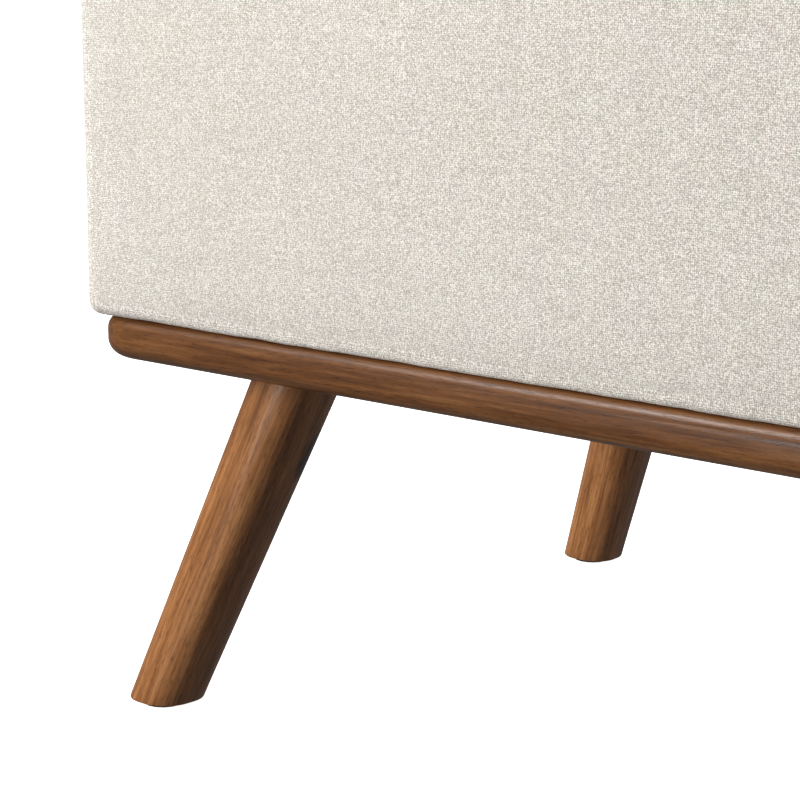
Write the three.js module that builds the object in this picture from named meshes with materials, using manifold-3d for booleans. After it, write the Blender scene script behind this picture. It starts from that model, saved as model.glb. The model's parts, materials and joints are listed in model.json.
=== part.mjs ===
// A storage ottoman: an upholstered box with a hinged, padded lid, standing on a
// rounded wooden rail frame with four splayed, tapered legs.
// Millimetres. +X is to the right, -Y is the front and +Z is up. The origin is on
// the floor, below the middle of the whole object.

import * as THREE from 'three';
import { mergeVertices } from 'three/addons/utils/BufferGeometryUtils.js';
import Module from 'manifold-3d';

const wasm = await Module();
wasm.setup();

// Overall sizes
const WIDTH = 610; // over the fabric
const DEPTH = 418; // over the fabric, without the hinge barrels
const RAIL_UNDERSIDE = 183; // floor to the underside of the rail frame
const RAIL_THICKNESS = 21;
const RIM_HEIGHT = 388; // floor to the top of the box's rim
const SEAM = 3; // open seam between the rim and the lid
const TOP_HEIGHT = 460; // floor to the top of the lid

// Layers of the upholstery
const GAP = 0.3; // between pieces that touch
const FABRIC = 1.5;
const PADDING = 5.5;
const PLYWOOD = 12;
const CORNER_RADIUS = 14; // upright corners of the fabric
const CORNER_STEPS = 4;
const FABRIC_EASE = 6.5; // rounding of the fabric's edges at the rail and the seam
const PADDING_EASE = 4.5; // the same under the fabric
const LID_TOP_EASE = 16; // rounding of the lid's upper edge
const EASE_STEPS = 3;
const RIM_TURN_DOWN = 20; // fabric turned down inside the rim
const TURN_UNDER = 35; // fabric turned under the box and under the lid's board
const BLOCK_LEG = 24; // corner blocks' short sides
const LINING_CHAMFER = 25; // lining's cut corners, which pass in front of the blocks

// Rail frame
const RAIL_OVERHANG = 1.5; // fabric stands this far out beyond the rails
const RAIL_WIDTH = 90;
const RAIL_EASE = 7;
const RAIL_CORNER = 33;

// Legs
const LEG_FROM_RAIL_END = 104; // to the middle of the leg's top
const LEG_FROM_RAIL_FACE = 54;
const SPLAY_X = 71.5; // how far the foot stands out from the leg's top
const SPLAY_Y = 32;
const LEG_TOP_WIDTH = 40.6;
const LEG_FOOT_WIDTH = 33.6;
const LEG_ROUNDING = 0.43; // of the leg's width
const LEG_OVERRUN = 40; // taper runs on this far before it is cut level

// Leg fasteners and glides
const BOLT_RADIUS = 3;
const BOLT_LOW = 152;
const BOLT_HIGH = 200;
const BOLT_CLEARANCE = 0.3;
const NUT_RADIUS = 4.5;
const NUT_FLANGE_RADIUS = 9;
const NUT_FLANGE = 1.5;
const NUT_LENGTH = 12;
const GLIDE_HEIGHT = 2.5;
const GLIDE_RADIUS = 12;
const GLIDE_NAIL_RADIUS = 1.4;
const GLIDE_NAIL_LENGTH = 12;

// Butt hinges
const HINGE_OUT = 1; // axis beyond the rear fabric
const HINGE_HALF_SPACING = 190;
const LEAF_LENGTH = 60;
const LEAF_REACH = 21; // from the axis to the leaf's front edge
const LEAF_THICKNESS = 1;
const KNUCKLES = 3;
const KNUCKLE_RADIUS = 3;
const KNUCKLE_GAP = 0.4;
const HINGE_PIN_RADIUS = 1.25;
const HINGE_BORE_RADIUS = 1.35;
const HINGE_PIN_CAP = 1.2;

// Lid stays: places in (y, z) from the hinge axis, with the lid shut
const STAY_PIVOT = [-66, -80];
const STAY_LID_PIVOT = [-150, -13];
const STAY_LAYER = 2; // thickness of the arm, the link and the bracket
const STAY_BAR_WIDTH = 14;
const STAY_DRUM_RADIUS = 14;
const STAY_DRUM_DEPTH = 7;
const STAY_PLATE_DROP = 42; // mounting plate's lower end below the pivot
const STAY_PLATE_WIDTH = 30;
const STAY_PIN_RADIUS = 2.5;
const STAY_HOLE_RADIUS = 2.6;
const STAY_FREE_HOLE_RADIUS = 2.9;
const STAY_HEAD_RADIUS = 4.2;
const STAY_HEAD = 1.5;
const STAY_PIN_SINK = 3.5; // pivot pin's length inside the drum
const BRACKET_LENGTH = 44;
const BRACKET_FLANGE = 20;

// Bumpers
const BUMPER_RADIUS = 6;
const BUMPER_INSET = 12; // from the fabric's face to the bumper's middle
const BUMPER_FROM_CORNER = 60;

const ROUND_SIDES = 16;
const FAR = 1000; // longer than anything here

// Sizes that follow from those above
const RAIL_TOP = RAIL_UNDERSIDE + RAIL_THICKNESS;
const COVER_LOW = RAIL_TOP + GAP;
const FLOOR_LOW = COVER_LOW + FABRIC + GAP;
const FLOOR_HIGH = FLOOR_LOW + PLYWOOD;
const WALL_HIGH = RIM_HEIGHT - FABRIC - GAP;
const LID_LOW = RIM_HEIGHT + SEAM;
const BOARD_LOW = LID_LOW + FABRIC + GAP;
const BOARD_HIGH = BOARD_LOW + PLYWOOD;
const HINGE_Y = DEPTH / 2 + HINGE_OUT;
const HINGE_Z = RIM_HEIGHT + SEAM / 2;
const HINGE_PROUD = HINGE_OUT + KNUCKLE_RADIUS;

// How far each upright layer lies inside the fabric's outer face
const PADDING_INSET = FABRIC + GAP;
const WALL_INSET = PADDING_INSET + PADDING + GAP;
const LINING_INSET = WALL_INSET + PLYWOOD + GAP;
const STORAGE_INSET = LINING_INSET + FABRIC;
const RAIL_INNER_INSET = RAIL_OVERHANG + RAIL_WIDTH;

const MATERIALS = {
  creamFabric: { color: 0xe1dcd2, roughness: 0.95 },
  greyLining: { color: 0x9c968c, roughness: 0.95 },
  blackCloth: { color: 0x26262a, roughness: 0.95 },
  foam: { color: 0xefe3bf, roughness: 0.9 },
  plywood: { color: 0xc9a678, roughness: 0.8 },
  walnut: { color: 0x77502f, roughness: 0.4 },
  zincSteel: { color: 0xb9bbbd, roughness: 0.35, metalness: 1 },
  blackPlastic: { color: 0x1d1d1f, roughness: 0.6 },
  clearRubber: { color: 0xd8d6cf, roughness: 0.7 },
};

// The row's origin is below the middle of the whole depth, hinge barrels included.
const ottoman = new THREE.Group();
ottoman.position.y = -HINGE_PROUD / 2;

// ---- Shaping ----

function solid(geometry) {
  const bare = geometry.clone();
  bare.deleteAttribute('normal');
  bare.deleteAttribute('uv');
  const merged = mergeVertices(bare, 1e-4);
  const vertProperties = Float32Array.from(merged.attributes.position.array);
  const triVerts = Uint32Array.from(merged.index.array);
  return new wasm.Manifold(new wasm.Mesh({ numProp: 3, vertProperties, triVerts }));
}

function addPiece(name, shape, material, place = [0, 0, 0]) {
  const { vertProperties, triVerts } = shape.getMesh();
  const geometry = new THREE.BufferGeometry();
  geometry.setAttribute('position', new THREE.BufferAttribute(vertProperties, 3));
  geometry.setIndex(new THREE.BufferAttribute(triVerts, 1));
  geometry.computeVertexNormals();
  const mesh = new THREE.Mesh(geometry, new THREE.MeshStandardMaterial(MATERIALS[material]));
  mesh.name = name;
  mesh.position.set(...place);
  ottoman.add(mesh);
}

// A box between two corners, given in any order.
function block(cornerA, cornerB) {
  const box = new THREE.Box3().setFromPoints([
    new THREE.Vector3(...cornerA),
    new THREE.Vector3(...cornerB),
  ]);
  const size = box.getSize(new THREE.Vector3());
  const centre = box.getCenter(new THREE.Vector3());
  return solid(new THREE.BoxGeometry(size.x, size.y, size.z).translate(centre.x, centre.y, centre.z));
}

// A round rod along Z at (x, y), from one height to another.
function uprightRod(radius, x, y, low, high) {
  const geometry = new THREE.CylinderGeometry(radius, radius, high - low, ROUND_SIDES);
  geometry.rotateX(Math.PI / 2);
  return solid(geometry.translate(x, y, (low + high) / 2));
}

// A round rod along X at (y, z), between two values of x given in any order.
function crossRod(radius, y, z, xA, xB) {
  const geometry = new THREE.CylinderGeometry(radius, radius, Math.abs(xB - xA), ROUND_SIDES);
  geometry.rotateZ(Math.PI / 2);
  return solid(geometry.translate((xA + xB) / 2, y, z));
}

// A profile of (radius, height) points, anticlockwise, turned about Z.
function turned(profile) {
  const points = profile.map(([radius, height]) => new THREE.Vector2(radius, height));
  const geometry = new THREE.LatheGeometry([...points, points[0]], ROUND_SIDES);
  return solid(geometry.rotateX(Math.PI / 2));
}

// A flat shape drawn in (y, z), made into a plate between two values of x.
function plate(shape, xA, xB) {
  const depth = Math.abs(xB - xA);
  const geometry = new THREE.ExtrudeGeometry(shape, { depth, bevelEnabled: false, curveSegments: 8 });
  const axes = [[0, 1, 0], [0, 0, 1], [1, 0, 0]].map((axis) => new THREE.Vector3(...axis));
  geometry.applyMatrix4(new THREE.Matrix4().makeBasis(...axes));
  return solid(geometry.translate(Math.min(xA, xB), 0, 0));
}

// A bar with round ends about two points.
function barShape([fromY, fromZ], [toY, toZ], width) {
  const angle = Math.atan2(toZ - fromZ, toY - fromY);
  const quarter = Math.PI / 2;
  const shape = new THREE.Shape();
  shape.absarc(toY, toZ, width / 2, angle - quarter, angle + quarter, false);
  shape.absarc(fromY, fromZ, width / 2, angle + quarter, angle + 3 * quarter, false);
  return shape;
}

// A rectangle with rounded corners about the origin; one step cuts the corners straight.
function outline(width, depth, radius, steps = CORNER_STEPS) {
  const points = [];
  const corners = [[1, -1], [1, 1], [-1, 1], [-1, -1]];
  corners.forEach(([signX, signY], corner) => {
    for (let step = 0; step <= steps; step += 1) {
      const angle = (corner - 1 + step / steps) * (Math.PI / 2);
      points.push([
        signX * (width / 2 - radius) + radius * Math.cos(angle),
        signY * (depth / 2 - radius) + radius * Math.sin(angle),
      ]);
    }
  });
  return points;
}

// A closed solid through rings of equally many points.
function loft(rings) {
  const count = rings[0].length;
  const index = [];
  for (let ring = 0; ring < rings.length - 1; ring += 1) {
    for (let i = 0; i < count; i += 1) {
      const a = ring * count + i;
      const b = ring * count + ((i + 1) % count);
      index.push(a, b, b + count, a, b + count, a + count);
    }
  }
  const top = (rings.length - 1) * count;
  for (let i = 1; i < count - 1; i += 1) {
    index.push(0, i + 1, i);
    index.push(top, top + i, top + i + 1);
  }
  const geometry = new THREE.BufferGeometry();
  geometry.setAttribute('position', new THREE.Float32BufferAttribute(rings.flat(2), 3));
  geometry.setIndex(index);
  return solid(geometry);
}

// An upright prism with the upholstery's plan, a stated distance inside the fabric's face.
// Its upper and lower edges can be rounded.
function slab({ inset, low, high, lowEase = 0, highEase = 0, radius = CORNER_RADIUS - inset, steps }) {
  const levels = [];
  const easeSteps = (ease) => (ease > 0 ? EASE_STEPS : 0);
  for (let step = easeSteps(lowEase); step >= 0; step -= 1) {
    const angle = (step / EASE_STEPS) * (Math.PI / 2);
    levels.push([low + lowEase * (1 - Math.sin(angle)), lowEase * (1 - Math.cos(angle))]);
  }
  for (let step = 0; step <= easeSteps(highEase); step += 1) {
    const angle = (step / EASE_STEPS) * (Math.PI / 2);
    levels.push([high - highEase * (1 - Math.sin(angle)), highEase * (1 - Math.cos(angle))]);
  }
  return loft(
    levels.map(([z, ease]) => {
      const drop = 2 * (inset + ease);
      const corner = Math.max(radius - ease, 1);
      return outline(WIDTH - drop, DEPTH - drop, corner, steps).map((point) => [...point, z]);
    }),
  );
}

// ---- Rail frame and legs ----

const LEG_X = WIDTH / 2 - RAIL_OVERHANG - LEG_FROM_RAIL_END;
const LEG_Y = DEPTH / 2 - RAIL_OVERHANG - LEG_FROM_RAIL_FACE;
const LEGS = [
  { name: 'front_left', sideX: -1, sideY: -1 },
  { name: 'front_right', sideX: 1, sideY: -1 },
  { name: 'rear_left', sideX: -1, sideY: 1 },
  { name: 'rear_right', sideX: 1, sideY: 1 },
];

// The ground that one rail covers, between its mitres, as a four-sided prism.
function mitredZone(turns) {
  const [long, short] = turns % 2 === 0 ? [WIDTH, DEPTH] : [DEPTH, WIDTH];
  const half = long / 2 - GAP * Math.SQRT1_2;
  const reach = RAIL_INNER_INSET + 10;
  const turn = (turns * Math.PI) / 2;
  const corners = [
    [-half - reach, -reach],
    [half + reach, -reach],
    [half - reach, reach],
    [reach - half, reach],
  ];
  const ring = (z) =>
    corners.map(([x, inward]) => {
      const y = inward - short / 2;
      return [x * Math.cos(turn) - y * Math.sin(turn), x * Math.sin(turn) + y * Math.cos(turn), z];
    });
  return loft([ring(RAIL_UNDERSIDE - 1), ring(RAIL_TOP + 1)]);
}

function railFrame() {
  const outer = slab({
    inset: RAIL_OVERHANG,
    low: RAIL_UNDERSIDE,
    high: RAIL_TOP,
    radius: RAIL_CORNER,
    lowEase: RAIL_EASE,
    highEase: RAIL_EASE,
  });
  const low = RAIL_UNDERSIDE - 1;
  const high = RAIL_TOP + 1;
  return outer.subtract(slab({ inset: RAIL_INNER_INSET, low, high, radius: 2, steps: 1 }));
}

function nutSeat(x, y) {
  const flangeLow = RAIL_TOP - NUT_FLANGE - 2 * GAP;
  const barrelLow = RAIL_TOP - GAP - NUT_LENGTH;
  return uprightRod(NUT_FLANGE_RADIUS + GAP, x, y, flangeLow, RAIL_TOP + 1)
    .add(uprightRod(NUT_RADIUS + GAP, x, y, barrelLow - GAP, RAIL_TOP))
    .add(uprightRod(BOLT_RADIUS + BOLT_CLEARANCE, x, y, RAIL_UNDERSIDE - 1, RAIL_TOP));
}

function addRails() {
  const seats = LEGS.map(({ sideX, sideY }) => nutSeat(sideX * LEG_X, sideY * LEG_Y));
  const frame = seats.reduce((rest, seat) => rest.subtract(seat), railFrame());
  ['front_rail', 'right_rail', 'rear_rail', 'left_rail'].forEach((name, turns) => {
    addPiece(name, frame.intersect(mitredZone(turns)), 'walnut');
  });
}

// A tapered leg with a rounded square section, about the middle of its top.
function leg(sideX, sideY) {
  const foot = new THREE.Vector3(sideX * SPLAY_X, sideY * SPLAY_Y, -RAIL_UNDERSIDE);
  const axis = foot.clone().normalize();
  const across = new THREE.Vector3(1, 0, 0).addScaledVector(axis, -axis.x).normalize();
  const along = new THREE.Vector3().crossVectors(across, axis);
  const length = foot.length();
  const ring = (distance) => {
    const width = THREE.MathUtils.lerp(LEG_TOP_WIDTH, LEG_FOOT_WIDTH, distance / length);
    const centre = axis.clone().multiplyScalar(distance);
    return outline(width, width, width * LEG_ROUNDING).map(([u, v]) =>
      centre.clone().addScaledVector(across, u).addScaledVector(along, v).toArray(),
    );
  };
  const taper = loft([ring(length + LEG_OVERRUN), ring(-LEG_OVERRUN)]);
  const footCut = GLIDE_HEIGHT + GAP - RAIL_UNDERSIDE;
  const nailHole = uprightRod(
    GLIDE_NAIL_RADIUS + GAP,
    foot.x,
    foot.y,
    footCut - 1,
    footCut + GLIDE_NAIL_LENGTH,
  );
  const boltHole = uprightRod(BOLT_RADIUS + BOLT_CLEARANCE, 0, 0, BOLT_LOW - 1 - RAIL_UNDERSIDE, 1);
  return taper
    .intersect(block([-FAR, -FAR, footCut], [FAR, FAR, -GAP]))
    .subtract(nailHole)
    .subtract(boltHole);
}

function legBolt() {
  return uprightRod(BOLT_RADIUS, 0, 0, BOLT_LOW, BOLT_HIGH);
}

// A tee nut: a threaded barrel under a wide flange, about its flange's top.
function legNut() {
  const bore = BOLT_RADIUS + BOLT_CLEARANCE;
  return turned([
    [bore, -NUT_LENGTH],
    [NUT_RADIUS, -NUT_LENGTH],
    [NUT_RADIUS, -NUT_FLANGE],
    [NUT_FLANGE_RADIUS, -NUT_FLANGE],
    [NUT_FLANGE_RADIUS, 0],
    [bore, 0],
  ]);
}

// A nail-on glide: a shallow disc with a nail standing up from it.
function footGlide() {
  return turned([
    [0, 0],
    [GLIDE_RADIUS - 1, 0],
    [GLIDE_RADIUS, 1],
    [GLIDE_RADIUS, GLIDE_HEIGHT],
    [GLIDE_NAIL_RADIUS, GLIDE_HEIGHT],
    [GLIDE_NAIL_RADIUS, GLIDE_NAIL_LENGTH],
    [0, GLIDE_NAIL_LENGTH],
  ]);
}

function addLegs() {
  LEGS.forEach(({ name, sideX, sideY }) => {
    const x = sideX * LEG_X;
    const y = sideY * LEG_Y;
    addPiece(`leg_${name}`, leg(sideX, sideY), 'walnut', [x, y, RAIL_UNDERSIDE]);
    addPiece(`leg_bolt_${name}`, legBolt(), 'zincSteel', [x, y, 0]);
    addPiece(`leg_nut_${name}`, legNut(), 'zincSteel', [x, y, RAIL_TOP - GAP]);
    const footPlace = [x + sideX * SPLAY_X, y + sideY * SPLAY_Y, 0];
    addPiece(`foot_glide_${name}`, footGlide(), 'blackPlastic', footPlace);
  });
}

// ---- Box ----

function storageSpace(extra, low, high) {
  const chamfer = LINING_CHAMFER - (FABRIC - extra) * (2 - Math.SQRT2);
  return slab({ inset: STORAGE_INSET - extra, low, high, radius: chamfer, steps: 1 });
}

function addWalls() {
  const low = FLOOR_HIGH + GAP;
  const joinX = WIDTH / 2 - WALL_INSET - PLYWOOD;
  const joinY = DEPTH / 2 - WALL_INSET - PLYWOOD;
  const ring = slab({ inset: WALL_INSET, low, high: WALL_HIGH })
    .subtract(block([-joinX, -joinY, 0], [joinX, joinY, FAR]));
  const panels = {
    front_panel: block([-FAR, -FAR, 0], [FAR, -joinY, FAR]),
    rear_panel: block([-FAR, joinY, 0], [FAR, FAR, FAR]),
    left_panel: block([-FAR, GAP - joinY, 0], [0, joinY - GAP, FAR]),
    right_panel: block([0, GAP - joinY, 0], [FAR, joinY - GAP, FAR]),
  };
  Object.entries(panels).forEach(([name, zone]) => addPiece(name, ring.intersect(zone), 'plywood'));
  addPiece('box_floor', slab({ inset: WALL_INSET, low: FLOOR_LOW, high: FLOOR_HIGH }), 'plywood');
}

function addCornerBlocks() {
  const low = FLOOR_HIGH + GAP;
  LEGS.forEach(({ name, sideX, sideY }) => {
    const x = sideX * (WIDTH / 2 - LINING_INSET);
    const y = sideY * (DEPTH / 2 - LINING_INSET);
    const points = [[x, y], [x - sideX * BLOCK_LEG, y], [x, y - sideY * BLOCK_LEG]];
    const ordered = sideX * sideY > 0 ? points : points.reverse();
    const ring = (z) => ordered.map((point) => [...point, z]);
    addPiece(`corner_block_${name}`, loft([ring(low), ring(WALL_HIGH)]), 'plywood');
  });
}

function boxPadding() {
  const eases = { lowEase: PADDING_EASE, highEase: PADDING_EASE };
  const outer = slab({ inset: PADDING_INSET, low: FLOOR_LOW, high: WALL_HIGH, ...eases });
  return outer.subtract(slab({ inset: WALL_INSET - GAP, low: FLOOR_LOW - 1, high: WALL_HIGH + 1 }));
}

// A skin's outer solid and the hollow inside it.
function fabricShell(low, high, topEase) {
  const outer = slab({ inset: 0, low, high, lowEase: FABRIC_EASE, highEase: topEase });
  const hollow = slab({
    inset: FABRIC,
    low: low + FABRIC,
    high: high - FABRIC,
    lowEase: FABRIC_EASE - FABRIC,
    highEase: topEase - FABRIC,
  });
  return { outer, hollow };
}

// One skin over the walls, down inside the rim and under the floor's edge.
function boxCover() {
  const shell = fabricShell(COVER_LOW, RIM_HEIGHT, FABRIC_EASE);
  const turnDown = RIM_HEIGHT - RIM_TURN_DOWN;
  const keptInside = storageSpace(FABRIC, turnDown, RIM_HEIGHT);
  const mouth = storageSpace(0, turnDown - 1, RIM_HEIGHT + 1);
  const below = slab({ inset: TURN_UNDER, low: COVER_LOW - 1, high: FLOOR_LOW, radius: 2 });
  return shell.outer.subtract(shell.hollow.subtract(keptInside)).subtract(mouth).subtract(below);
}

// An open tray of cloth against the walls and the floor.
function boxLining() {
  const low = FLOOR_HIGH + GAP;
  const high = RIM_HEIGHT - RIM_TURN_DOWN - GAP;
  return storageSpace(FABRIC, low, high).subtract(storageSpace(0, low + FABRIC, high + 1));
}

function addBox() {
  addWalls();
  addCornerBlocks();
  addPiece('box_padding', boxPadding(), 'foam');
  addPiece('box_cover', boxCover(), 'creamFabric');
  addPiece('box_lining', boxLining(), 'greyLining');
  const under = { inset: TURN_UNDER + GAP, radius: 2, low: COVER_LOW, high: COVER_LOW + FABRIC };
  addPiece('dust_cover', slab(under), 'blackCloth');
}

// ---- Lid ----

function lidFoam() {
  const top = TOP_HEIGHT - PADDING_INSET;
  const outer = slab({
    inset: PADDING_INSET,
    low: BOARD_LOW,
    high: top,
    lowEase: PADDING_EASE,
    highEase: LID_TOP_EASE - PADDING_INSET,
  });
  return outer.subtract(slab({ inset: WALL_INSET - GAP, low: BOARD_LOW - 1, high: BOARD_HIGH + GAP }));
}

function lidCover() {
  const { outer, hollow } = fabricShell(LID_LOW, TOP_HEIGHT, LID_TOP_EASE);
  const below = slab({ inset: TURN_UNDER, low: LID_LOW - 1, high: BOARD_LOW, radius: 2 });
  return outer.subtract(hollow).subtract(below);
}

function addLid() {
  addPiece('lid_board', slab({ inset: WALL_INSET, low: BOARD_LOW, high: BOARD_HIGH }), 'plywood');
  addPiece('lid_foam', lidFoam(), 'foam');
  addPiece('lid_cover', lidCover(), 'creamFabric');
  const under = { inset: TURN_UNDER + GAP, radius: 2, low: LID_LOW, high: LID_LOW + FABRIC };
  addPiece('lid_lining', slab(under), 'greyLining');
}

// ---- Hinges ----

// One leaf about the hinge axis, with the knuckles of one parity.
function hingeLeaf(low, parity) {
  const high = low + LEAF_THICKNESS;
  const half = LEAF_LENGTH / 2;
  const backEdge = -KNUCKLE_RADIUS - KNUCKLE_GAP;
  const bore = crossRod(HINGE_BORE_RADIUS, 0, 0, -half - 1, half + 1);
  let leaf = block([-half, -LEAF_REACH, low], [half, backEdge, high]);
  const step = LEAF_LENGTH / KNUCKLES;
  for (let knuckle = parity; knuckle < KNUCKLES; knuckle += 2) {
    const from = -half + knuckle * step + KNUCKLE_GAP / 2;
    const to = from + step - KNUCKLE_GAP;
    leaf = leaf
      .add(block([from, backEdge - 1, low], [to, 0, high]))
      .add(crossRod(KNUCKLE_RADIUS, 0, 0, from, to));
  }
  return leaf.subtract(bore);
}

function hingePin() {
  const half = LEAF_LENGTH / 2;
  const end = half + HINGE_PIN_CAP;
  const pin = crossRod(HINGE_PIN_RADIUS, 0, 0, -end, end);
  return pin
    .add(crossRod(KNUCKLE_RADIUS - 0.4, 0, 0, half + 0.1, end))
    .add(crossRod(KNUCKLE_RADIUS - 0.4, 0, 0, -end, -half - 0.1));
}

function addHinges() {
  [['left', -1], ['right', 1]].forEach(([side, sign]) => {
    const place = [sign * HINGE_HALF_SPACING, HINGE_Y, HINGE_Z];
    const boxLeafLow = GAP - SEAM / 2;
    const lidLeafLow = SEAM / 2 - GAP - LEAF_THICKNESS;
    addPiece(`hinge_box_leaf_${side}`, hingeLeaf(boxLeafLow, 0), 'zincSteel', place);
    addPiece(`hinge_lid_leaf_${side}`, hingeLeaf(lidLeafLow, 1), 'zincSteel', place);
    addPiece(`hinge_pin_${side}`, hingePin(), 'zincSteel', place);
  });
}

// ---- Lid stays ----

// With the lid shut: the arm's pivot on the box, the link's pivot on the lid, and the
// knee, which makes a parallelogram with them and the hinge axis.
const PIVOT = [HINGE_Y + STAY_PIVOT[0], HINGE_Z + STAY_PIVOT[1]];
const LID_PIVOT = [HINGE_Y + STAY_LID_PIVOT[0], HINGE_Z + STAY_LID_PIVOT[1]];
const KNEE = [PIVOT[0] + STAY_LID_PIVOT[0], PIVOT[1] + STAY_LID_PIVOT[1]];

// Distances from the middle of the ottoman to the faces of the stay's layers
const HOUSING_BACK = WIDTH / 2 - STORAGE_INSET - GAP;
const DRUM_FACE = HOUSING_BACK - STAY_LAYER - STAY_DRUM_DEPTH;
const ARM_BACK = DRUM_FACE - GAP;
const ARM_FACE = ARM_BACK - STAY_LAYER;
const LINK_BACK = ARM_FACE - GAP;
const LINK_FACE = LINK_BACK - STAY_LAYER;

function stayHousing(sign) {
  const drop = [PIVOT[0], PIVOT[1] - STAY_PLATE_DROP];
  const plateFace = HOUSING_BACK - STAY_LAYER;
  const plateShape = barShape(PIVOT, drop, STAY_PLATE_WIDTH);
  const mountingPlate = plate(plateShape, sign * HOUSING_BACK, sign * plateFace);
  const drum = crossRod(STAY_DRUM_RADIUS, ...PIVOT, sign * (plateFace + 1), sign * DRUM_FACE);
  const holeEnd = DRUM_FACE + STAY_PIN_SINK + GAP;
  const pinHole = crossRod(STAY_PIN_RADIUS + GAP, ...PIVOT, sign * holeEnd, sign * (DRUM_FACE - 1));
  return mountingPlate.add(drum).subtract(pinHole);
}

function stayBar(sign, from, to, back, face, toHole) {
  return plate(barShape(from, to, STAY_BAR_WIDTH), sign * back, sign * face)
    .subtract(crossRod(STAY_HOLE_RADIUS, ...from, sign * (back + 1), sign * (face - 1)))
    .subtract(crossRod(toHole, ...to, sign * (back + 1), sign * (face - 1)));
}

// An angle bracket: a flange under the lid and an ear that hangs down to the link.
function stayBracket(sign) {
  const flangeHigh = LID_LOW - GAP;
  const flangeLow = flangeHigh - STAY_LAYER;
  const [y, z] = LID_PIVOT;
  const half = BRACKET_LENGTH / 2;
  const radius = STAY_BAR_WIDTH / 2;
  const ear = new THREE.Shape();
  ear.moveTo(y - half, flangeHigh);
  ear.absarc(y, z, radius, -Math.PI * 0.9, -Math.PI * 0.1, false);
  ear.lineTo(y + half, flangeHigh);
  const flangeEnd = ARM_BACK - BRACKET_FLANGE;
  const flange = block([sign * ARM_BACK, y - half, flangeLow], [sign * flangeEnd, y + half, flangeHigh]);
  return plate(ear, sign * ARM_BACK, sign * ARM_FACE)
    .add(flange)
    .subtract(crossRod(STAY_PIN_RADIUS + 0.1, y, z, sign * (ARM_BACK + 1), sign * (ARM_FACE - 1)));
}

// A pin with a head at its inner end, and one at its outer end where it is a rivet.
function stayPin(sign, [y, z], outerEnd, innerFace, isRivet) {
  const head = innerFace - GAP;
  const pin = crossRod(STAY_PIN_RADIUS, y, z, sign * outerEnd, sign * head)
    .add(crossRod(STAY_HEAD_RADIUS, y, z, sign * head, sign * (head - STAY_HEAD)));
  if (!isRivet) return pin;
  return pin.add(crossRod(STAY_HEAD_RADIUS, y, z, sign * outerEnd, sign * (outerEnd + STAY_HEAD)));
}

function addStays() {
  [['left', -1], ['right', 1]].forEach(([side, sign]) => {
    const arm = stayBar(sign, PIVOT, KNEE, ARM_BACK, ARM_FACE, STAY_HOLE_RADIUS);
    const link = stayBar(sign, KNEE, LID_PIVOT, LINK_BACK, LINK_FACE, STAY_FREE_HOLE_RADIUS);
    const rivetEnd = ARM_BACK + GAP;
    const armPin = stayPin(sign, PIVOT, DRUM_FACE + STAY_PIN_SINK, ARM_FACE, false);
    const kneeRivet = stayPin(sign, KNEE, rivetEnd, LINK_FACE, true);
    const lidPin = stayPin(sign, LID_PIVOT, rivetEnd, LINK_FACE, true);
    addPiece(`stay_housing_${side}`, stayHousing(sign), 'blackPlastic');
    addPiece(`stay_arm_${side}`, arm, 'zincSteel');
    addPiece(`stay_link_${side}`, link, 'zincSteel');
    addPiece(`stay_bracket_${side}`, stayBracket(sign), 'zincSteel');
    addPiece(`stay_arm_pin_${side}`, armPin, 'zincSteel');
    addPiece(`stay_knee_rivet_${side}`, kneeRivet, 'zincSteel');
    addPiece(`stay_lid_pin_${side}`, lidPin, 'zincSteel');
  });
}

// ---- Bumpers ----

function addBumpers() {
  [['left', -1], ['right', 1]].forEach(([side, sign]) => {
    const x = sign * (WIDTH / 2 - BUMPER_FROM_CORNER);
    const y = BUMPER_INSET - DEPTH / 2;
    const bumper = uprightRod(BUMPER_RADIUS, 0, 0, RIM_HEIGHT + GAP, LID_LOW - GAP);
    addPiece(`lid_bumper_${side}`, bumper, 'clearRubber', [x, y, 0]);
  });
}

addRails();
addLegs();
addBox();
addLid();
addHinges();
addStays();
addBumpers();

export default ottoman;
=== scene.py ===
import json
import math

import bmesh
import bpy
import numpy as np
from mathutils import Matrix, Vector, noise


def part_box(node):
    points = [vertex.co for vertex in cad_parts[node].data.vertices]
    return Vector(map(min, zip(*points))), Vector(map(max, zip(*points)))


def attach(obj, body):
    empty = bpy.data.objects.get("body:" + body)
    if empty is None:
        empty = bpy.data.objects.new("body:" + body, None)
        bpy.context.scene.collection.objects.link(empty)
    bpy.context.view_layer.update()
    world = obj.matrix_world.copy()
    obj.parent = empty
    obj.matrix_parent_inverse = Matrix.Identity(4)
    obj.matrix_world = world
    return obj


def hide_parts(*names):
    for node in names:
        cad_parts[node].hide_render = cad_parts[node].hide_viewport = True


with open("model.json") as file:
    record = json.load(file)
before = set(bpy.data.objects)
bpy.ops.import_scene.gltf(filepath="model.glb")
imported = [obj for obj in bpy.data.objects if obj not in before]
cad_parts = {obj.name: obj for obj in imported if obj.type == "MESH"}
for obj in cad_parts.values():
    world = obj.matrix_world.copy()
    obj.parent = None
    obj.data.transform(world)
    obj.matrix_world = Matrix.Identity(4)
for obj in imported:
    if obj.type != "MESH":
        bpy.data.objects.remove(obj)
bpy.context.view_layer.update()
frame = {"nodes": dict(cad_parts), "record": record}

# Everything is in metres, in the CAD model's frame: +X right, -Y front, +Z up.

MM = 0.001
CORNERS = ("front_left", "front_right", "rear_left", "rear_right")
SIDES = (("left", -1), ("right", 1))

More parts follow.
